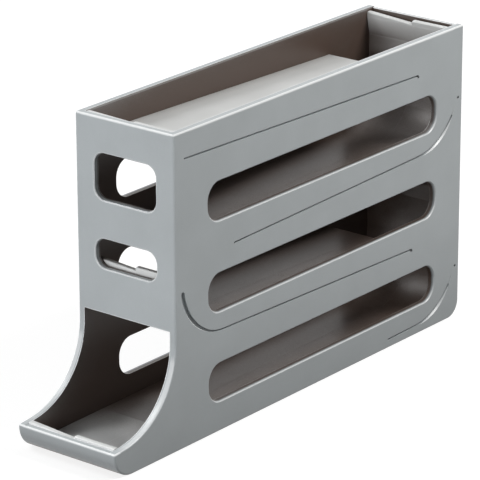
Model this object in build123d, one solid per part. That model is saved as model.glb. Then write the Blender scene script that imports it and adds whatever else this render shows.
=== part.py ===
from build123d import *
import math
import os

# Driving dimensions, in millimetres
# Lengths along the rack are measured back from the outer face of the front panel

# Body
WIDTH = 80.0
HEIGHT = 210.0
BODY_DEPTH = 307.0
LIP_REACH = 59.6
SIDE_WALL = 4.8
FRONT_WALL = 4.4
FLOOR_WALL = 2.4
BACK_WALL = 2.2
BACK_PANEL_BELOW_RIM = 0.8
BACK_PANEL_ROUND = 0.7
EDGE_ROUND = 1.3
OPENING_CHAMFER = 0.6
BACK_FOOT_RADIUS = 11.5

# Open tray at the foot of the front: its lip has a short upright face above a round foot
FRONT_PANEL_FOOT = 80.0
LIP_HEIGHT = 18.2
LIP_FACE = 1.8
SWEEP_RADIUS = 54.0
SWEEP_ANGLE = 85.0

# Long slots in both sides, one above each of the three lower slides
SLOT_START = 32.8
SLOT_BEFORE_BACK = 29.8
SLOT_HEIGHT = 26.4
SLOT_FOOT = 20.5
SLOT_PITCH = 61.0
SLOT_COUNT = 3
SLOT_CORNER = 11.5

# Windows in the front panel, as (foot, height)
WINDOWS = ((110.0, 19.8), (155.5, 31.0))
WINDOW_WIDTH = 50.0
WINDOW_CORNER = 8.0

# Slides
SHEET = 2.0
TRACK_FALL = 0.025
BOTTOM_FALL = 0.01
FRONT_TURN_RADIUS = 41.5
BACK_TURN_RADIUS = 43.0
HOOK_RADIUS = 5.0
FRONT_TURN = 6.8
BACK_TURN_BEFORE_BACK = 5.0
FRONT_DROP = 58.8
TOP_DROP_BEFORE_BACK = 51.9
THIRD_DROP_BEFORE_BACK = 56.7
TOP_TRACK_BELOW_RIM = 17.7
SECOND_TRACK_BACK = 129.8
THIRD_TRACK_FRONT = 70.1
TOP_HOOK_BELOW_RIM = 0.5
BACK_LEG_BELOW_RIM = 2.3
THIRD_LEG_ABOVE_TURN = 2.4
BOTTOM_LEG_ABOVE_TURN = 46.0
LIP_HOOK_ABOVE_LIP = 1.2
SIDE_CLEARANCE = 0.2
SEAT_CLEARANCE = 0.1

# Upturned ends of the slides, which thicken into a rounded head
HEAD_DEPTH = 4.4
HEAD_ROUND = 1.2
HEAD_FACE = 0.4
HEAD_TAPER = 12.0
TOP_EDGE_SLANT = 2.4
TOP_HOOK_SLANT = 1.2

# Joint between the two halves of a slide, beside the middle of the rack
JOINT_OFFSET = 3.0
TONGUE_WIDTH = 8.0
TONGUE_INSET = 5.0
LUG_WIDTH = 4.0
LUG_COUNT = 3

# Ledges that carry the slides
LEDGE_DEPTH = 3.2
LEDGE_THICKNESS = 2.4

# Pins and the beads that they enter; those of the legs sit below and outside the back turns
PIN_DIAMETER = 2.0
PIN_RECESS = 0.8
PIN_REACH = 7.0
BEAD_DIAMETER = 4.0
LEG_PIN_ANGLE = 16.0
LEG_PIN_OUTSIDE = 1.6

# Grooves in the outer faces of the side walls
GROOVE_WIDTH = 1.2
GROOVE_DEPTH = 1.6
BOTTOM_GROOVE_BEFORE_BACK = 82.0
BACK_GROOVE_END = 56.0
HOOK_GROOVE_END = 79.0

# Crescent scoops that widen the grooves at the turns; angles from the level, in degrees
SCOOP_WIDTH = 3.4
BACK_SCOOP_MIDDLE = -60.0
BACK_SCOOP_SPREAD = 37.0
HOOK_SCOOP_MIDDLE = -155.0
HOOK_SCOOP_SPREAD = 55.0

# Back panel snaps
SNAP_HEIGHTS = (60.0, 165.0)
SNAP_LENGTH = 12.0
SNAP_REACH = 2.0
SNAP_THICKNESS = 1.2

# Depth by which joined solids reach into each other, and the reach of a search for edges
EMBED = 0.5
NEAR = 0.01

# Values worked out from the driving dimensions
FRONT_Y = LIP_REACH - (BODY_DEPTH + LIP_REACH) / 2
HALF = WIDTH / 2
INNER_HALF = HALF - SIDE_WALL
SLIDE_HALF = INNER_HALF - SIDE_CLEARANCE
LIP_FOOT_RADIUS = LIP_HEIGHT - LIP_FACE
BACK_PANEL_FACE = BODY_DEPTH - BACK_WALL
BACK_TURN = BODY_DEPTH - BACK_TURN_BEFORE_BACK
TOP_DROP = BODY_DEPTH - TOP_DROP_BEFORE_BACK
THIRD_DROP = BODY_DEPTH - THIRD_DROP_BEFORE_BACK
SLOT_LENGTH = BODY_DEPTH - SLOT_START - SLOT_BEFORE_BACK
SILL_TOP = BACK_FOOT_RADIUS + FLOOR_WALL
BEAD_OFFSET = (SHEET - BEAD_DIAMETER) / 2


def spot(y, z):
    """A point of the side view, with y measured back from the front panel."""
    return (FRONT_Y + y, z)


def prism(outline, x_from, x_to):
    """Extrude a side view outline across the rack."""
    face = make_face(Plane.YZ.offset(x_from) * outline)
    return extrude(face, amount=x_to - x_from, dir=(1, 0, 0))


def rod(y, z, diameter, x_from, x_to):
    """A round bar that lies across the rack."""
    disc = Plane.YZ.offset(x_from) * Pos(FRONT_Y + y, z) * Circle(diameter / 2)
    return extrude(disc, amount=x_to - x_from, dir=(1, 0, 0))


def box(x_from, x_to, y_from, y_to, z_from, z_to):
    """A box given by its limits, with y measured back from the front panel."""
    block = Box(x_to - x_from, y_to - y_from, z_to - z_from)
    return Pos((x_from + x_to) / 2, FRONT_Y + (y_from + y_to) / 2, (z_from + z_to) / 2) * block


class Track:
    """A line of the side view: straight runs joined by tangent arcs.

    Distances s are measured to the left of the direction of travel, which is the
    upper side of a slide's floor and the inner side of its upturned ends.
    """

    def __init__(self, pieces):
        self.pieces = pieces

    def part(self, first, last):
        """The track from one of its pieces up to another."""
        return Track(self.pieces[first:last])

    def trimmed(self, at_start, at_end):
        """A single run, cut short at its ends."""
        _, start, end = self.pieces[0]
        way = (end - start).normalized()
        return Track([("run", start + way * at_start, end - way * at_end)])

    def started_at(self, place):
        """The track with its first run started at a place along the rack."""
        _, start, end = self.pieces[0]
        way = end - start
        first = ("run", start + way * ((place - start.X) / way.X), end)
        return Track([first] + self.pieces[1:])

    def ended_in_arc(self, degrees):
        """The track with its last arc ended so many degrees after its start."""
        kind, centre, radius, start, _, side = self.pieces[-1]
        arc = (kind, centre, radius, start, start + side * math.radians(degrees), side)
        return Track(self.pieces[:-1] + [arc])

    def started_in_arc(self, degrees):
        """The track with its first arc started so many degrees before its end."""
        kind, centre, radius, _, end, side = self.pieces[0]
        arc = (kind, centre, radius, end - side * math.radians(degrees), end, side)
        return Track([arc] + self.pieces[1:])

    def rail(self, s):
        """The track moved sideways: first, middle and last point of each piece."""
        points = []
        for piece in self.pieces:
            if piece[0] == "run":
                way = (piece[2] - piece[1]).normalized()
                shift = Vector(-way.Y, way.X) * s
                points.append((piece[1] + shift, None, piece[2] + shift))
            else:
                _, centre, radius, start, end, side = piece
                reach = radius - side * s
                angles = (start, (start + end) / 2, end)
                points.append(tuple(centre + heading(angle) * reach for angle in angles))
        return points

    def band(self, s_from, s_to):
        """The closed outline between two lines that run beside the track."""
        rails = [self.rail(s_from), self.rail(s_to)]
        edges = [Line(rails[0][0][0], rails[1][0][0]), Line(rails[0][-1][2], rails[1][-1][2])]
        for start, middle, end in rails[0] + rails[1]:
            edges.append(Line(start, end) if middle is None else ThreePointArc(start, middle, end))
        return Curve() + edges

    def first_point(self, s=0.0):
        return self.rail(s)[0][0]

    def last_point(self, s=0.0):
        return self.rail(s)[-1][2]


def heading(angle):
    return Vector(math.cos(angle), math.sin(angle))


def rounded_track(corners, radii):
    """A track through corners, each but the first and last rounded with its radius."""
    pieces = []
    start = Vector(*corners[0])
    for before, at, after, radius in zip(corners, corners[1:], corners[2:], radii):
        corner = Vector(*at)
        into = (corner - Vector(*before)).normalized()
        out = (Vector(*after) - corner).normalized()
        turn = math.atan2(into.X * out.Y - into.Y * out.X, into.dot(out))
        side = math.copysign(1.0, turn)
        reach = radius * math.tan(abs(turn) / 2)
        normal = Vector(-into.Y, into.X) * side
        centre = corner - into * reach + normal * radius
        first = math.atan2(-normal.Y, -normal.X)
        pieces.append(("run", start, corner - into * reach))
        pieces.append(("arc", centre, radius, first, first + turn, side))
        start = corner + out * reach
    pieces.append(("run", start, Vector(*corners[-1])))
    return Track(pieces)


def top_track():
    """Starts in a hook behind the front rim and falls to the back."""
    hook_y = FRONT_WALL + SEAT_CLEARANCE + SHEET / 2
    front_z = HEIGHT - TOP_TRACK_BELOW_RIM
    back_z = front_z - TRACK_FALL * (TOP_DROP - hook_y)
    corners = [spot(hook_y, HEIGHT - TOP_HOOK_BELOW_RIM), spot(hook_y, front_z), spot(TOP_DROP, back_z)]
    return rounded_track(corners, [HOOK_RADIUS])


def second_track():
    """Falls to the front from a tall leg that lines the back panel."""
    front_z = SECOND_TRACK_BACK - TRACK_FALL * (BACK_TURN - FRONT_DROP)
    corners = [
        spot(FRONT_DROP, front_z),
        spot(BACK_TURN, SECOND_TRACK_BACK),
        spot(BACK_TURN, HEIGHT - BACK_LEG_BELOW_RIM),
    ]
    return rounded_track(corners, [BACK_TURN_RADIUS])


def third_track():
    """Turns at the front and falls to the back."""
    back_z = THIRD_TRACK_FRONT - TRACK_FALL * (THIRD_DROP - FRONT_TURN)
    corners = [
        spot(FRONT_TURN, THIRD_TRACK_FRONT + FRONT_TURN_RADIUS + THIRD_LEG_ABOVE_TURN),
        spot(FRONT_TURN, THIRD_TRACK_FRONT),
        spot(THIRD_DROP, back_z),
    ]
    return rounded_track(corners, [FRONT_TURN_RADIUS])


def bottom_track():
    """Rises from the shell's floor behind the tray wall to a leg at the back."""
    hook_y = FRONT_WALL + SEAT_CLEARANCE + SHEET / 2 - LIP_REACH
    front_z = FLOOR_WALL + SEAT_CLEARANCE + SHEET / 2
    back_z = front_z + BOTTOM_FALL * (BACK_TURN - hook_y)
    corners = [
        spot(hook_y, LIP_HEIGHT + LIP_HOOK_ABOVE_LIP),
        spot(hook_y, front_z),
        spot(BACK_TURN, back_z),
        spot(BACK_TURN, back_z + BACK_TURN_RADIUS + BOTTOM_LEG_ABOVE_TURN),
    ]
    return rounded_track(corners, [LIP_FOOT_RADIUS - FRONT_WALL, BACK_TURN_RADIUS])


def body_outline():
    """Side view of the shell: body, concave sweep and tray."""
    angle = math.radians(SWEEP_ANGLE)
    sweep_y = SWEEP_RADIUS * (math.cos(angle) - 1)
    sweep_z = LIP_HEIGHT + (LIP_REACH + sweep_y) / math.tan(angle)
    centre_z = sweep_z + SWEEP_RADIUS * math.sin(angle)
    lip_foot = spot(LIP_FOOT_RADIUS - LIP_REACH, 0)
    back_foot = spot(BODY_DEPTH - BACK_FOOT_RADIUS, 0)
    return Curve() + [
        Line(lip_foot, back_foot),
        CenterArc(spot(BODY_DEPTH - BACK_FOOT_RADIUS, BACK_FOOT_RADIUS), BACK_FOOT_RADIUS, 270, 90),
        Line(spot(BODY_DEPTH, BACK_FOOT_RADIUS), spot(BODY_DEPTH, HEIGHT)),
        Line(spot(BODY_DEPTH, HEIGHT), spot(0, HEIGHT)),
        Line(spot(0, HEIGHT), spot(0, centre_z)),
        CenterArc(spot(-SWEEP_RADIUS, centre_z), SWEEP_RADIUS, -SWEEP_ANGLE, SWEEP_ANGLE),
        Line(spot(sweep_y, sweep_z), spot(-LIP_REACH, LIP_HEIGHT)),
        Line(spot(-LIP_REACH, LIP_HEIGHT), spot(-LIP_REACH, LIP_FOOT_RADIUS)),
        CenterArc(spot(LIP_FOOT_RADIUS - LIP_REACH, LIP_FOOT_RADIUS), LIP_FOOT_RADIUS, 180, 90),
    ]


def hollow_outline():
    """Side view of the space between the side walls."""
    lip_inner = FRONT_WALL - LIP_REACH
    lip_radius = LIP_FOOT_RADIUS - FRONT_WALL
    back_inner = BODY_DEPTH - FLOOR_WALL
    back_radius = BACK_FOOT_RADIUS - FLOOR_WALL
    beyond = LIP_REACH / 2
    corners = [
        spot(back_inner, FLOOR_WALL + back_radius),
        spot(back_inner, SILL_TOP),
        spot(BODY_DEPTH + beyond, SILL_TOP),
        spot(BODY_DEPTH + beyond, HEIGHT + beyond),
        spot(FRONT_WALL, HEIGHT + beyond),
        spot(FRONT_WALL, FRONT_PANEL_FOOT),
        spot(-LIP_REACH - beyond, FRONT_PANEL_FOOT),
        spot(-LIP_REACH - beyond, LIP_HEIGHT),
        spot(lip_inner, LIP_HEIGHT),
        spot(lip_inner, FLOOR_WALL + lip_radius),
    ]
    edges = [Line(a, b) for a, b in zip(corners, corners[1:])]
    edges.append(CenterArc(spot(lip_inner + lip_radius, FLOOR_WALL + lip_radius), lip_radius, 180, 90))
    edges.append(Line(spot(lip_inner + lip_radius, FLOOR_WALL), spot(back_inner - back_radius, FLOOR_WALL)))
    edges.append(CenterArc(spot(back_inner - back_radius, FLOOR_WALL + back_radius), back_radius, 270, 90))
    return Curve() + edges


def edges_within(shape, axis, at, y_from, y_to, z_from, z_to):
    """Edges that lie in a plane across an axis, inside limits of the side or front view."""
    chosen = ShapeList()
    for edge in shape.edges().filter_by_position(axis, at - NEAR, at + NEAR):
        limits = edge.bounding_box()
        across = (limits.min.Y, limits.max.Y) if axis == Axis.X else (limits.min.X, limits.max.X)
        if across[0] > y_from and across[1] < y_to and limits.min.Z > z_from and limits.max.Z < z_to:
            chosen.append(edge)
    return chosen


def rounded_opening(width, height, corner):
    """A rectangle with round corners, kept valid when the corner is large."""
    return RectangleRounded(width, height, min(corner, height / 2 - NEAR, width / 2 - NEAR))


def shell_blank():
    """The outer body before it is hollowed: rounded outside, with its slots and windows."""
    blank = prism(body_outline(), -HALF, HALF)
    rims = blank.edges().filter_by_position(Axis.X, -HALF - NEAR, -HALF + NEAR)
    rims += blank.edges().filter_by_position(Axis.X, HALF - NEAR, HALF + NEAR)
    for y, z in (spot(0, HEIGHT), spot(BODY_DEPTH, HEIGHT), spot(-LIP_REACH, LIP_HEIGHT)):
        rims += blank.edges().filter_by(Axis.X).filter_by(
            lambda edge: abs(edge.center().Y - y) < NEAR and abs(edge.center().Z - z) < NEAR
        )
    blank = fillet(rims, EDGE_ROUND)
    for index in range(SLOT_COUNT):
        foot = SLOT_FOOT + index * SLOT_PITCH
        middle = Pos(FRONT_Y + SLOT_START + SLOT_LENGTH / 2, foot + SLOT_HEIGHT / 2)
        slot = Plane.YZ.offset(-WIDTH) * middle * rounded_opening(SLOT_LENGTH, SLOT_HEIGHT, SLOT_CORNER)
        blank -= extrude(slot, amount=2 * WIDTH, dir=(1, 0, 0))
    for foot, height in WINDOWS:
        middle = Pos(0, foot + height / 2)
        window = Plane.XZ.offset(-FRONT_Y - FRONT_WALL - EMBED) * middle
        window = window * rounded_opening(WINDOW_WIDTH, height, WINDOW_CORNER)
        blank -= extrude(window, amount=FRONT_WALL + 2 * EMBED, dir=(0, -1, 0))
    return blank


def soften_openings(shell):
    """Break the outer edges of the slots and windows."""
    soft = ShapeList()
    for index in range(SLOT_COUNT):
        foot = SLOT_FOOT + index * SLOT_PITCH
        start = FRONT_Y + SLOT_START
        limits = (start - NEAR, start + SLOT_LENGTH + NEAR, foot - NEAR, foot + SLOT_HEIGHT + NEAR)
        for side in (-HALF, HALF):
            soft += edges_within(shell, Axis.X, side, *limits)
    for foot, height in WINDOWS:
        reach = WINDOW_WIDTH / 2 + NEAR
        soft += edges_within(shell, Axis.Y, FRONT_Y, -reach, reach, foot - NEAR, foot + height + NEAR)
    return chamfer(soft, OPENING_CHAMFER)


def scoop(arc, middle, spread):
    """A crescent along a turn: upright on its inner side, sloping up to the wall on its outer side.

    It lies between two circles that part from the turn by as much as the width allows.
    """
    _, centre, radius, _, _, _ = arc
    half_width = SCOOP_WIDTH / 2
    shift = half_width / (1 - math.cos(math.radians(spread)))
    away = heading(math.radians(middle)) * shift
    outer_radius = radius + half_width - shift
    inner_radius = radius - half_width + shift
    slope = Cone(
        outer_radius - GROOVE_DEPTH,
        outer_radius + EMBED,
        GROOVE_DEPTH + EMBED,
        align=(Align.CENTER, Align.CENTER, Align.MIN),
    )
    outer = centre + away
    inner = centre - away
    slope = Plane.YZ.offset(HALF - GROOVE_DEPTH) * Pos(outer.X, outer.Y) * slope
    return slope - rod(inner.X - FRONT_Y, inner.Y, 2 * inner_radius, HALF - 2 * GROOVE_DEPTH, WIDTH)


def groove_cuts():
    """The lines in the side walls that follow the slides inside."""
    groove_start = FRONT_Y + BODY_DEPTH - BOTTOM_GROOVE_BEFORE_BACK
    top = top_track().part(2, 3)
    second = second_track().part(0, 2).ended_in_arc(BACK_GROOVE_END)
    third = third_track().part(1, 3).started_in_arc(HOOK_GROOVE_END)
    bottom = bottom_track().part(2, 4).ended_in_arc(BACK_GROOVE_END).started_at(groove_start)
    limits = (HALF - GROOVE_DEPTH, HALF + EMBED)
    cuts = []
    for line in (top, second, third, bottom):
        cuts.append(prism(line.band(-GROOVE_WIDTH / 2, GROOVE_WIDTH / 2), *limits))
    for line in (top, second, bottom):
        end = line.first_point()
        cuts.append(rod(end.X - FRONT_Y, end.Y, GROOVE_WIDTH, *limits))
    for line in (second, bottom):
        cuts.append(scoop(line.pieces[-1], BACK_SCOOP_MIDDLE, BACK_SCOOP_SPREAD))
    tip = third.first_point()
    under_tip = Pos(HALF, tip.X, tip.Y) * Box(*[WIDTH] * 3, align=(Align.CENTER, Align.CENTER, Align.MAX))
    cuts.append(scoop(third.pieces[0], HOOK_SCOOP_MIDDLE, HOOK_SCOOP_SPREAD) & under_tip)
    cuts.append(rod(tip.X - FRONT_Y, tip.Y, SCOOP_WIDTH, *limits))
    return cuts + [mirror(cut, Plane.YZ) for cut in cuts]


def pin_points():
    """Where the pins enter the walls, one for each slide."""
    points = [top_track().last_point(BEAD_OFFSET)]
    angle = -math.radians(LEG_PIN_ANGLE)
    for track in (second_track().part(1, 2), bottom_track().part(3, 4)):
        _, centre, radius, _, _, _ = track.pieces[0]
        points.append(centre + heading(angle) * (radius + LEG_PIN_OUTSIDE))
    points.insert(2, third_track().last_point(BEAD_OFFSET))
    return points


def ledges():
    """Strips on the inner faces of the side walls that carry the floors of the slides."""
    floors = (
        top_track().part(2, 3).trimmed(0, BEAD_DIAMETER),
        second_track().part(0, 1).trimmed(BEAD_DIAMETER, 0),
        third_track().part(2, 3).trimmed(0, BEAD_DIAMETER),
        bottom_track().part(2, 3),
    )
    strips = []
    for floor in floors:
        outline = floor.band(-SHEET / 2 - LEDGE_THICKNESS, -SHEET / 2)
        strips.append(prism(outline, -INNER_HALF - EMBED, LEDGE_DEPTH - INNER_HALF))
        strips.append(prism(outline, INNER_HALF - LEDGE_DEPTH, INNER_HALF + EMBED))
    return strips


def snap_boxes(clearance):
    """The four tongues of the back panel, or with a clearance the pockets for them."""
    boxes = []
    for height in SNAP_HEIGHTS:
        for side in (-1, 1):
            ends = sorted((side * (INNER_HALF - EMBED), side * (INNER_HALF + SNAP_REACH + clearance)))
            reach = SNAP_LENGTH / 2 + clearance
            depths = (BACK_PANEL_FACE, BACK_PANEL_FACE + SNAP_THICKNESS)
            boxes.append(box(*ends, *depths, height - reach, height + reach))
    return boxes


def body_shell():
    """Front panel, side walls, tray wall and floor, moulded in one."""
    shell = soften_openings(shell_blank())
    shell -= prism(hollow_outline(), -INNER_HALF, INNER_HALF)
    for strip in ledges():
        shell += strip
    for cut in groove_cuts():
        shell -= cut
    for point in pin_points():
        shell -= rod(point.X - FRONT_Y, point.Y, PIN_DIAMETER, -WIDTH, WIDTH)
    for pocket in snap_boxes(SEAT_CLEARANCE):
        shell -= pocket
    return shell


def back_panel():
    """A thin plate let in between the side walls, on the sill of the shell."""
    reach = INNER_HALF - SEAT_CLEARANCE
    plate = box(-reach, reach, BACK_PANEL_FACE, BODY_DEPTH, SILL_TOP, HEIGHT - BACK_PANEL_BELOW_RIM)
    top_edges = plate.edges().group_by(Axis.Z)[-1].filter_by(Axis.X)
    plate = fillet(top_edges, BACK_PANEL_ROUND)
    for tongue in snap_boxes(0.0):
        plate += tongue
    return plate


class Slide:
    """What one slide needs: its line, its ends and where it is joined."""

    def __init__(self, track, floor, heads, drop=None, full_bead=True, leg=None):
        self.track = track
        self.floor = floor
        self.heads = heads
        self.drop = drop
        self.full_bead = full_bead
        self.leg = leg

    def bead(self, x_from, x_to):
        """The thick round lip at the edge that the eggs drop from."""
        at_start = self.drop == "front"
        point = self.track.first_point(BEAD_OFFSET) if at_start else self.track.last_point(BEAD_OFFSET)
        return rod(point.X - FRONT_Y, point.Y, BEAD_DIAMETER, x_from, x_to)

    def lugs(self):
        """Square lugs on the tongue, spaced along the floor, flush with its upper side."""
        start, end = self.floor.first_point(), self.floor.last_point()
        way = (end - start).normalized()
        middle = JOINT_OFFSET + TONGUE_WIDTH / 2
        blocks = []
        for index in range(LUG_COUNT):
            point = start + (end - start) * ((index + 0.5) / LUG_COUNT)
            place = Plane(origin=(middle, point.X, point.Y), x_dir=(1, 0, 0), z_dir=(0, -way.Y, way.X))
            block = Box(LUG_WIDTH, LUG_WIDTH, SHEET / 2, align=(Align.CENTER, Align.CENTER, Align.MIN))
            blocks.append(place * block)
        return blocks


class Head:
    """The thick rounded top of a slide's upturned end."""

    def __init__(self, track, at_start, slant):
        run = track.pieces[0] if at_start else track.pieces[-1]
        self.top = run[1] if at_start else run[2]
        self.length = (run[2] - run[1]).length
        self.inward = Vector(1, 0) if at_start else Vector(-1, 0)
        self.slant = slant

    def block(self, x_from, x_to):
        """The extra thickness on the inner side, which tapers off below the head."""
        shoulder = self.slant + HEAD_ROUND + HEAD_FACE
        foot = max(min(shoulder + HEAD_TAPER, self.length), shoulder + HEAD_FACE)
        face = self.top + self.inward * (HEAD_DEPTH - SHEET / 2)
        sheet_face = self.top + self.inward * (SHEET / 2)
        down = Vector(0, -1)
        corners = [self.top, face, face + down * shoulder, sheet_face + down * foot, self.top + down * foot]
        return prism(Polyline(corners, close=True), x_from, x_to)

    def slant_cut(self):
        """Wedge off the top of a left half: nothing at the wall, most at the joint."""
        top = self.top
        corners = [(-SLIDE_HALF, top.Y), (JOINT_OFFSET, top.Y), (JOINT_OFFSET, top.Y - self.slant)]
        face = make_face(Plane.XZ.offset(-top.X - HEAD_DEPTH) * Polyline(corners, close=True))
        return extrude(face, amount=2 * HEAD_DEPTH, dir=(0, -1, 0))

    def rounded(self, half, slant):
        """A slide half with the two long edges of this head's top rounded."""
        long_edges = half.edges().filter_by(
            lambda edge: edge.bounding_box().size.X > SLIDE_HALF / 2
            and abs(edge.center().Y - self.top.X) < HEAD_DEPTH
            and abs(edge.center().Z - self.top.Y + slant / 2) < NEAR
        )
        return fillet(long_edges, HEAD_ROUND)


def slide_half(slide, side):
    """One half of a slide: side -1 is the left one, which carries the tongue."""
    near, far = (JOINT_OFFSET, SLIDE_HALF) if side > 0 else (-SLIDE_HALF, JOINT_OFFSET)
    half = prism(slide.track.band(-SHEET / 2, SHEET / 2), near, far)
    for head in slide.heads:
        half += head.block(near, far)
        if side < 0:
            half = head.rounded(half - head.slant_cut(), head.slant)
        else:
            half = head.rounded(half, 0)
    tongue = slide.floor.trimmed(TONGUE_INSET, TONGUE_INSET).band(-SHEET / 2, 0)
    if side < 0:
        half += prism(tongue, JOINT_OFFSET - TONGUE_WIDTH / 2, JOINT_OFFSET + TONGUE_WIDTH)
        for lug in slide.lugs():
            half += lug
    else:
        half -= prism(tongue, near, near + TONGUE_WIDTH + SIDE_CLEARANCE)
        for lug in slide.lugs():
            half -= lug
    if slide.drop:
        reach = 0.0 if slide.full_bead else LEDGE_DEPTH + 2 * SIDE_CLEARANCE
        half += slide.bead(*((near, far - reach) if side > 0 else (near + reach, far)))
    if slide.leg is not None:
        outer = side * SLIDE_HALF
        inner = outer - side * (PIN_REACH + BEAD_DIAMETER / 2)
        half += rod(slide.leg.X - FRONT_Y, slide.leg.Y, BEAD_DIAMETER, min(inner, outer), max(inner, outer))
    return half


def slides():
    """The four slides, from the top down."""
    top, second, third, bottom = top_track(), second_track(), third_track(), bottom_track()
    points = pin_points()
    return (
        Slide(top, top.part(2, 3), [Head(top, True, TOP_HOOK_SLANT)], drop="back"),
        Slide(
            second,
            second.part(0, 1),
            [Head(second, False, TOP_EDGE_SLANT)],
            drop="front",
            full_bead=False,
            leg=points[1],
        ),
        Slide(third, third.part(2, 3), [Head(third, True, TOP_EDGE_SLANT)], drop="back"),
        Slide(
            bottom,
            bottom.part(2, 3),
            [Head(bottom, True, TOP_EDGE_SLANT), Head(bottom, False, TOP_EDGE_SLANT)],
            leg=points[3],
        ),
    )


def pin(point, side):
    """A pin from inside the recess in the wall into the bead of a slide."""
    ends = sorted((side * (HALF - PIN_RECESS), side * (SLIDE_HALF - PIN_REACH)))
    return rod(point.X - FRONT_Y, point.Y, PIN_DIAMETER, *ends)


def main():
    os.makedirs("parts", exist_ok=True)
    pieces = {"body_shell": body_shell(), "back_panel": back_panel()}
    for number, (slide, point) in enumerate(zip(slides(), pin_points()), start=1):
        for side, name in ((-1, "left"), (1, "right")):
            lock = pin(point, side)
            pieces[f"slide_{number}_{name}"] = slide_half(slide, side) - lock
            pieces[f"pin_{number}_{name}"] = lock
    for name, shape in pieces.items():
        export_step(shape, f"parts/{name}.step")


if __name__ == "__main__":
    main()
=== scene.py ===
"""Looks of the tiered egg rack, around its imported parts. Metres, +Z up, open tray towards -Y."""

import math

import bpy
from mathutils import Matrix, Vector


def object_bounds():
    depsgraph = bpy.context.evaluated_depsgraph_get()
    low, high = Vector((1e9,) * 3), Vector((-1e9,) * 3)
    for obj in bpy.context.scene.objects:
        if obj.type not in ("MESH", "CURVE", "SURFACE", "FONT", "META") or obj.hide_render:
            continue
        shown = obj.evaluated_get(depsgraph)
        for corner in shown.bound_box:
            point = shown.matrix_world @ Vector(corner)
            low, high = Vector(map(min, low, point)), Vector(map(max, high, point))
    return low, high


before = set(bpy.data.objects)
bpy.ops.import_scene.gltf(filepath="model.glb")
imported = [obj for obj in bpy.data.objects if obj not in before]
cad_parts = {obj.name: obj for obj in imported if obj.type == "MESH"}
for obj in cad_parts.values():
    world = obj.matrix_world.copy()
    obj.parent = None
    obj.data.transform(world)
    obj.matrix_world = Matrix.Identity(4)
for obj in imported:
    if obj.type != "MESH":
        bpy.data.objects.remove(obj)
cad_low, cad_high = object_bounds()

# Camera, at the photograph's angle: degrees, metres, and millimetres of lens and sensor
CAMERA_AZIMUTH = 38.74
CAMERA_ELEVATION = 19.94
CAMERA_ROLL = -0.177
CAMERA_DISTANCE = 2.1865
CAMERA_AIM = (-0.0202, 0.0156, 0.0890)
CAMERA_LENS = 247.5
CAMERA_SENSOR = 36.0
NEAREST = 0.05
FARTHEST = 50.0

# Colours, as sRGB values from 0 to 255
SHELL_GREY = (165, 171, 174)
SLIDE_GREY = (206, 208, 208)
# Pin ends painted near black: painted shade standing in for the shadow in their holes
PIN_HOLE_SHADE = (46, 44, 42)
# Painted shade colours: inside the walls a warm brown, whose tint is painted bounce light; outside
# a neutral grey
DEEP_SHADE = (72, 56, 47)
OUTER_SHADE = (54, 55, 56)
# Painted edge highlight: a pale colour mixed into the edges that catch the light
PAINTED_EDGE_HIGHLIGHT = (236, 238, 239)
FLOOR_BOUNCE = (90, 90, 90)
WHITE = (1.0, 1.0, 1.0, 1.0)

# Sockets of a mix node that has been set to colours: share, first, second; and its result
COLOUR_MIX_INPUTS = (0, 6, 7)
COLOUR_MIX_OUTPUT = 2

# Each kind of piece: its colour, the shares of open air at full and at no painted shade, how
# strong its painted edge highlight is, and the share of the painted shade that is left at the top
# of the rack
LOOKS = {
    "shell": (SHELL_GREY, (0.27, 0.8), 0.85, 1.0),
    "slide": (SLIDE_GREY, (0.06, 0.44), 0.6, 0.1),
    "pin": (PIN_HOLE_SHADE, (0.1, 0.5), 0.0, 1.0),
}

# Distances from the middle plane to either side. A pair is where a soft step begins and ends.
WINDOW_REACH = (0.030, 0.032)
INSIDE_FACES = (0.0355, 0.0365)
TRAY_WALLS = (0.0362, 0.0366)
SLOT_WALLS = (0.0393, 0.0372)
OUTER_SKIN = (0.0378, 0.0384)
SLOT_EDGES = (0.0390, 0.0394)
ABOVE_GROOVES = (0.0396, 0.0399)

# Places along the rack, from the tray to the back
LIP_BACK = -0.178
TRAY_TO_BODY = (-0.17, -0.05)
TRAY_SWEEP = (-0.1242, -0.1252)
FRONT_FACE = (-0.1230, -0.1225)
FRONT_SKIN = (-0.1225, -0.1200)
FRONT_WALL_BACK = (-0.1210, -0.1205)
SLOTS_START = (-0.110, -0.108)
SLOTS_END = (0.170, 0.172)

# Heights
LIP_TOP = 0.0182
FRONT_PANEL_FOOT = (0.080, 0.083)
SLOTS_TOP = (0.180, 0.185)
TOP_ZONE = (0.190, 0.203)
RIM_START = (-0.0016, -0.0012)
RIM_END = (0.0002, 0.0004)
SOFT_STEP = 0.001

# Parts of a face's direction, between which it counts as turned that way or not
FACES_FRONT = (-0.9, -0.7)
FACES_SIDE = (0.9, 0.7)
FACES_UP = (0.05, 0.4)
LESS_THAN_LEVEL = (0.985, 0.93)
SLANT_START = (0.3, 0.5)
SLANT_END = (0.95, 0.85)
BENT = (0.998, 0.96)

# Painted shade: a darker colour mixed in at the corners that little light reaches
OPEN_AIR_REACH = 0.15
OPEN_AIR_SAMPLES = 16
DEEPEST_SHADE = 0.97
CLOSER_INSIDE = 0.21
SHADE_OUTSIDE = 0.45
SHADE_IN_SLOTS = 0.75

# Painted edge highlights: how much of them shows at each place
HIGHLIGHT_UNDERSIDE = 0.1
HIGHLIGHT_WINDOWS = 0.7
HIGHLIGHT_SLOTS = 0.6
HIGHLIGHT_SLANT = 0.5
HIGHLIGHT_SWEEP = 0.5
OPEN_EDGE = (0.4, 0.75)
EDGE_WIDTH = 0.0012
EDGE_SAMPLES = 8
EDGE_ROUNDING = 0.00035
ROUNDING_SAMPLES = 6

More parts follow.
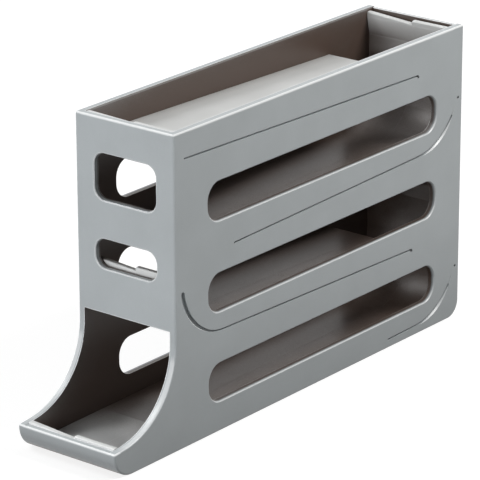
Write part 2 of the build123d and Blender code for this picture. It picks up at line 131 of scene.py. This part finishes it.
# Moulded surface: flow clouds, waves and grain (scale, detail and roughness of each noise)
CLOUDS = (28.0, 3.0, 0.55)
WAVES = (60.0, 1.0, 0.4)
GRAIN = (2600.0, 2.0, 0.6)
PALE = 1.04
DEEP = 0.96
FLOW = (0.3, 0.7)
SPECKS = (0.35, 0.65)
SPECK_SHARE = 0.04
WAVE_STRENGTH = 0.06
WAVE_HEIGHT = 0.0015
GRAIN_STRENGTH = 0.10
GRAIN_HEIGHT = 0.00005
GLOSS_CLOUDS = (0.2, 0.8)
ROUGHNESS = (0.31, 0.37)
PLASTIC_IOR = 1.49

# Studio. The camera sees the floor's own glow, and a share of the light that falls on it.
FLOOR_SIZE = 12.0
FLOOR_GLOW = 0.78
FLOOR_LIT_SHARE = 0.3
WORLD_LIGHT = 0.15

# Lamps: name, width, power, colour, place and the point that they face
LAMPS = (
    ("key", 0.55, 9.3, (1.0, 1.0, 1.0), (0.03, -1.25, 0.31), (0, 0, 0.08)),
    ("top", 0.7, 10.5, (1.0, 1.0, 1.0), (-1.15, -0.65, 1.5), (0, 0, 0.1)),
    ("right", 0.6, 19.5, (1.0, 0.99, 0.965), (0.95, 0.5, 1.25), (0, 0.1, 0.1)),
    ("back", 0.9, 11.0, (1.0, 1.0, 1.0), (-0.4, 1.8, 0.5), (0, 0, 0.1)),
    ("left", 0.9, 8.0, (1.0, 1.0, 1.0), (-1.6, 0.1, 0.55), (0, 0, 0.1)),
)


def linear(colour):
    """Scene colour of an sRGB colour."""
    values = []
    for channel in colour:
        share = channel / 255
        values.append(share / 12.92 if share <= 0.04045 else ((share + 0.055) / 1.055) ** 2.4)
    return (*values, 1.0)


class Nodes:
    """The node tree of a material or world, with short ways to add and join nodes."""

    def __init__(self, owner):
        owner.use_nodes = True
        self.owner = owner
        self.tree = owner.node_tree
        self.tree.nodes.clear()

    def add(self, kind, **settings):
        node = self.tree.nodes.new(kind)
        for key, value in settings.items():
            setattr(node, key, value)
        return node

    def join(self, source, target):
        self.tree.links.new(source, target)

    def noise(self, place, scale, detail, roughness):
        node = self.add("ShaderNodeTexNoise")
        self.join(place, node.inputs["Vector"])
        node.inputs["Scale"].default_value = scale
        node.inputs["Detail"].default_value = detail
        node.inputs["Roughness"].default_value = roughness
        return node.outputs["Fac"]

    def step(self, value, ends, low=0.0, high=1.0):
        """A number that goes from low to high while the value goes from one end to the other."""
        node = self.add("ShaderNodeMapRange")
        self.join(value, node.inputs["Value"])
        node.inputs["From Min"].default_value = ends[0]
        node.inputs["From Max"].default_value = ends[1]
        node.inputs["To Min"].default_value = low
        node.inputs["To Max"].default_value = high
        return node.outputs["Result"]

    def split(self, vector):
        node = self.add("ShaderNodeSeparateXYZ")
        self.join(vector, node.inputs["Vector"])
        return node.outputs

    def maths(self, operation, first, *others):
        """The first number, worked on with each of the others in turn."""
        result = first
        for other in others:
            node = self.add("ShaderNodeMath", operation=operation)
            self.join(result, node.inputs[0])
            self.join(other, node.inputs[1])
            result = node.outputs["Value"]
        return result

    def product(self, *values):
        return self.maths("MULTIPLY", *values)

    def least(self, *values):
        return self.maths("MINIMUM", *values)

    def most(self, *values):
        return self.maths("MAXIMUM", *values)

    def magnitude(self, value):
        node = self.add("ShaderNodeMath", operation="ABSOLUTE")
        self.join(value, node.inputs[0])
        return node.outputs["Value"]

    def alike(self, first, second):
        """How far two directions agree: 1 where they are the same."""
        node = self.add("ShaderNodeVectorMath", operation="DOT_PRODUCT")
        self.join(first, node.inputs[0])
        self.join(second, node.inputs[1])
        return node.outputs["Value"]

    def mix(self, share, first, second):
        """A colour between two others, each given as a socket or a plain colour."""
        node = self.add("ShaderNodeMix", data_type="RGBA")
        for socket, value in zip(COLOUR_MIX_INPUTS, (share, first, second)):
            if isinstance(value, bpy.types.NodeSocket):
                self.join(value, node.inputs[socket])
            else:
                node.inputs[socket].default_value = value
        return node.outputs[COLOUR_MIX_OUTPUT]

    def rounded(self, radius, samples):
        node = self.add("ShaderNodeBevel", samples=samples)
        node.inputs["Radius"].default_value = radius
        return node.outputs["Normal"]

    def bump(self, height, strength, distance, normal):
        node = self.add("ShaderNodeBump")
        self.join(height, node.inputs["Height"])
        node.inputs["Strength"].default_value = strength
        node.inputs["Distance"].default_value = distance
        self.join(normal, node.inputs["Normal"])
        return node.outputs["Normal"]

    def plain(self, kind, colour, strength=None):
        """Output of a shader with one colour, and with a strength if it shines."""
        node = self.add(kind)
        node.inputs["Color"].default_value = colour
        if strength is not None:
            node.inputs["Strength"].default_value = strength
        return node.outputs[0]

    def either(self, share, first, second):
        """The first shader where the share is 0, and the second where it is 1."""
        node = self.add("ShaderNodeMixShader")
        self.join(share, node.inputs["Fac"])
        self.join(first, node.inputs[1])
        self.join(second, node.inputs[2])
        return node.outputs["Shader"]

    def seen_rays(self):
        """1 for the rays that look for a background: camera, glossy and transmission ones."""
        path = self.add("ShaderNodeLightPath").outputs
        return self.most(path["Is Camera Ray"], path["Is Glossy Ray"], path["Is Transmission Ray"])

    def end(self, shader, kind="ShaderNodeOutputMaterial"):
        self.join(shader, self.add(kind).inputs["Surface"])
        return self.owner


class Rack:
    """Where a point of the rack lies, and which way its face is turned."""

    def __init__(self, nodes):
        self.nodes = nodes
        self.place = nodes.add("ShaderNodeTexCoord").outputs["Object"]
        self.axes = nodes.split(self.place)
        self.across = nodes.magnitude(self.axes["X"])
        self.normal = nodes.add("ShaderNodeNewGeometry").outputs["Normal"]
        self.turned = nodes.split(self.normal)
        self.sideways = nodes.magnitude(self.turned["X"])
        occlusion = nodes.add("ShaderNodeAmbientOcclusion", samples=OPEN_AIR_SAMPLES)
        occlusion.inputs["Distance"].default_value = OPEN_AIR_REACH
        self.open_air = occlusion.outputs["AO"]

    def inner(self):
        """Inside of the walls, without the front face, the lip and the windows' edges."""
        nodes, along, height = self.nodes, self.axes["Y"], self.axes["Z"]
        behind_skin = nodes.step(self.across, OUTER_SKIN, 1.0, 0.0)
        off_front = nodes.most(
            nodes.step(self.turned["Y"], FACES_FRONT),
            nodes.step(along, FRONT_FACE),
        )
        behind_lip = nodes.step(along, (LIP_BACK - SOFT_STEP, LIP_BACK))
        past_window = nodes.most(
            nodes.step(along, FRONT_WALL_BACK),
            nodes.step(self.across, WINDOW_REACH),
            nodes.step(height, FRONT_PANEL_FOOT, 1.0, 0.0),
        )
        return nodes.least(behind_skin, off_front, behind_lip, past_window)

    def along_slots(self):
        nodes, along = self.nodes, self.axes["Y"]
        return nodes.product(nodes.step(along, SLOTS_START), nodes.step(along, SLOTS_END, 1.0, 0.0))

    def shade(self, inner, open_air_ends, top_shade):
        """How deep the painted shade is at a point: inside, in corners, and on the walls of the
        slots.
        """
        nodes, along, height = self.nodes, self.axes["Y"], self.axes["Z"]
        # Painted shade grows deeper from the tray towards the body
        closer = nodes.product(inner, nodes.step(along, TRAY_TO_BODY, 0.0, CLOSER_INSIDE))
        air = nodes.maths("SUBTRACT", self.open_air, closer)
        hidden = nodes.step(air, open_air_ends, DEEPEST_SHADE, 0.0)
        outside = nodes.most(
            nodes.step(self.across, ABOVE_GROOVES, 0.0, SHADE_OUTSIDE),
            nodes.step(along, FRONT_SKIN, SHADE_OUTSIDE, 0.0),
        )
        share = nodes.product(
            nodes.most(inner, outside),
            nodes.step(height, TOP_ZONE, 1.0, top_shade),
        )
        # Painted shade on the walls of the slots
        slot_walls = nodes.product(
            nodes.step(self.across, SLOT_WALLS),
            self.along_slots(),
            nodes.step(height, SLOTS_TOP, SHADE_IN_SLOTS, 0.0),
        )
        return nodes.most(nodes.product(hidden, share), slot_walls)

    def rim(self, top):
        """The narrow band along a top edge."""
        nodes, height = self.nodes, self.axes["Z"]
        return nodes.product(
            nodes.step(height, (top + RIM_START[0], top + RIM_START[1])),
            nodes.step(height, (top + RIM_END[0], top + RIM_END[1]), 1.0, 0.0),
        )

    def edges(self):
        """How much painted highlight an edge gets: rims, windows, slots, scoops and the tray."""
        nodes, along, height = self.nodes, self.axes["Y"], self.axes["Z"]
        off_side = nodes.step(self.sideways, FACES_SIDE)
        widened = nodes.rounded(EDGE_WIDTH, EDGE_SAMPLES)
        bend = nodes.step(nodes.alike(widened, self.normal), BENT)
        slant = nodes.product(
            nodes.step(self.sideways, SLANT_START, 0.0, HIGHLIGHT_SLANT),
            nodes.step(self.sideways, SLANT_END),
        )
        before_tray = nodes.step(along, (LIP_BACK, LIP_BACK + SOFT_STEP), 1.0, 0.0)
        rims = nodes.product(
            nodes.most(self.rim(cad_high.z), nodes.product(self.rim(LIP_TOP), before_tray)),
            nodes.step(self.turned["Z"], LESS_THAN_LEVEL),
        )
        # More painted highlight on faces turned up, towards the light, and on window and slot edges
        highlight_places = nodes.most(
            nodes.step(self.turned["Z"], FACES_UP, HIGHLIGHT_UNDERSIDE, 1.0),
            nodes.step(self.across, INSIDE_FACES, HIGHLIGHT_WINDOWS, 0.0),
            nodes.product(
                self.along_slots(),
                nodes.step(self.across, SLOT_EDGES, 0.0, HIGHLIGHT_SLOTS),
            ),
        )
        sweep = nodes.product(
            nodes.step(self.across, TRAY_WALLS, 0.0, HIGHLIGHT_SWEEP),
            nodes.step(along, TRAY_SWEEP),
            nodes.step(height, (LIP_TOP, LIP_TOP + SOFT_STEP)),
            off_side,
        )
        folds = nodes.most(nodes.product(bend, off_side), slant, rims)
        return nodes.most(nodes.product(folds, highlight_places), sweep)


def moulded_plastic(name, colour, open_air_ends, edge_highlight, top_shade):
    """Satin moulded plastic: fine grain, faint flow clouds, painted edge highlights, painted shade
    in deep corners.
    """
    nodes = Nodes(bpy.data.materials.new(name))
    rack = Rack(nodes)
    clouds, grain, waves = (nodes.noise(rack.place, *noise) for noise in (CLOUDS, GRAIN, WAVES))

    base = linear(colour)[:3]
    pale = (*(min(1.0, channel * PALE) for channel in base), 1.0)
    deep = (*(channel * DEEP for channel in base), 1.0)
    tone = nodes.mix(nodes.step(clouds, FLOW), deep, pale)
    speckled = nodes.mix(nodes.step(grain, SPECKS, 0.0, SPECK_SHARE), tone, WHITE)

    inner = rack.inner()
    # Painted shade, mixed into the colour: warm brown inside the walls, neutral grey outside
    shade = nodes.mix(inner, linear(OUTER_SHADE), linear(DEEP_SHADE))
    shaded = nodes.mix(rack.shade(inner, open_air_ends, top_shade), speckled, shade)
    # Painted highlight: edges that catch the light are mixed towards a pale colour
    highlight_share = nodes.product(rack.edges(), nodes.step(rack.open_air, OPEN_EDGE, 0.0, edge_highlight))
    highlighted = nodes.mix(highlight_share, shaded, linear(PAINTED_EDGE_HIGHLIGHT))

    soft_edged = nodes.rounded(EDGE_ROUNDING, ROUNDING_SAMPLES)
    wavy = nodes.bump(waves, WAVE_STRENGTH, WAVE_HEIGHT, soft_edged)
    grained = nodes.bump(grain, GRAIN_STRENGTH, GRAIN_HEIGHT, wavy)

    shader = nodes.add("ShaderNodeBsdfPrincipled")
    nodes.join(highlighted, shader.inputs["Base Color"])
    nodes.join(nodes.step(clouds, GLOSS_CLOUDS, *ROUGHNESS), shader.inputs["Roughness"])
    nodes.join(grained, shader.inputs["Normal"])
    shader.inputs["IOR"].default_value = PLASTIC_IOR
    return nodes.end(shader.outputs["BSDF"])


def dress():
    """Give each CAD node the material of its kind of piece."""
    materials = {kind: moulded_plastic(f"{kind}_plastic", *look) for kind, look in LOOKS.items()}
    for name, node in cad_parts.items():
        first_word = name.split("_")[0]
        node.data.materials.clear()
        node.data.materials.append(materials.get(first_word, materials["shell"]))
        for face in node.data.polygons:
            face.material_index = 0


def add_stage():
    """A pale floor that looks white to the camera and keeps the rack's soft shadow."""
    bpy.ops.mesh.primitive_plane_add(size=FLOOR_SIZE, location=(0, 0, cad_low.z))
    floor = bpy.context.object
    floor.name = "floor"
    nodes = Nodes(bpy.data.materials.new("floor_white"))
    white = nodes.add("ShaderNodeAddShader")
    lit_share = (FLOOR_LIT_SHARE, FLOOR_LIT_SHARE, FLOOR_LIT_SHARE, 1.0)
    nodes.join(nodes.plain("ShaderNodeEmission", WHITE, FLOOR_GLOW), white.inputs[0])
    nodes.join(nodes.plain("ShaderNodeBsdfDiffuse", lit_share), white.inputs[1])
    bounce = nodes.plain("ShaderNodeBsdfDiffuse", linear(FLOOR_BOUNCE))
    shader = nodes.either(nodes.seen_rays(), bounce, white.outputs["Shader"])
    floor.data.materials.append(nodes.end(shader))


def add_world():
    """White studio walls to the camera, and a weaker even light on the rack."""
    nodes = Nodes(bpy.data.worlds.new("studio"))
    light = nodes.plain("ShaderNodeBackground", WHITE, WORLD_LIGHT)
    walls = nodes.plain("ShaderNodeBackground", WHITE, 1.0)
    shader = nodes.either(nodes.seen_rays(), light, walls)
    bpy.context.scene.world = nodes.end(shader, "ShaderNodeOutputWorld")


def add_object(name, data):
    thing = bpy.data.objects.new(name, data)
    bpy.context.scene.collection.objects.link(thing)
    return thing


def add_lamps():
    for name, width, power, colour, place, aim in LAMPS:
        lamp = bpy.data.lights.new(name, "AREA")
        lamp.shape = "DISK"
        lamp.size = width
        lamp.energy = power
        lamp.color = colour
        holder = add_object(name, lamp)
        holder.location = place
        holder.rotation_mode = "QUATERNION"
        holder.rotation_quaternion = (Vector(aim) - Vector(place)).to_track_quat("-Z", "Y")


def add_camera():
    azimuth = math.radians(CAMERA_AZIMUTH)
    elevation = math.radians(CAMERA_ELEVATION)
    towards_camera = Vector((
        math.sin(azimuth) * math.cos(elevation),
        -math.cos(azimuth) * math.cos(elevation),
        math.sin(elevation),
    ))
    lens = bpy.data.cameras.new("camera")
    lens.sensor_width = CAMERA_SENSOR
    lens.lens = CAMERA_LENS
    lens.clip_start = NEAREST
    lens.clip_end = FARTHEST
    camera = add_object("camera", lens)
    place = Matrix.Translation(Vector(CAMERA_AIM) + towards_camera * CAMERA_DISTANCE)
    turn = (-towards_camera).to_track_quat("-Z", "Y").to_matrix().to_4x4()
    roll = Matrix.Rotation(math.radians(CAMERA_ROLL), 4, "Z")
    camera.matrix_world = place @ turn @ roll
    bpy.context.scene.camera = camera


bpy.context.scene.view_settings.view_transform = "Standard"
dress()
add_stage()
add_world()
add_lamps()
add_camera()
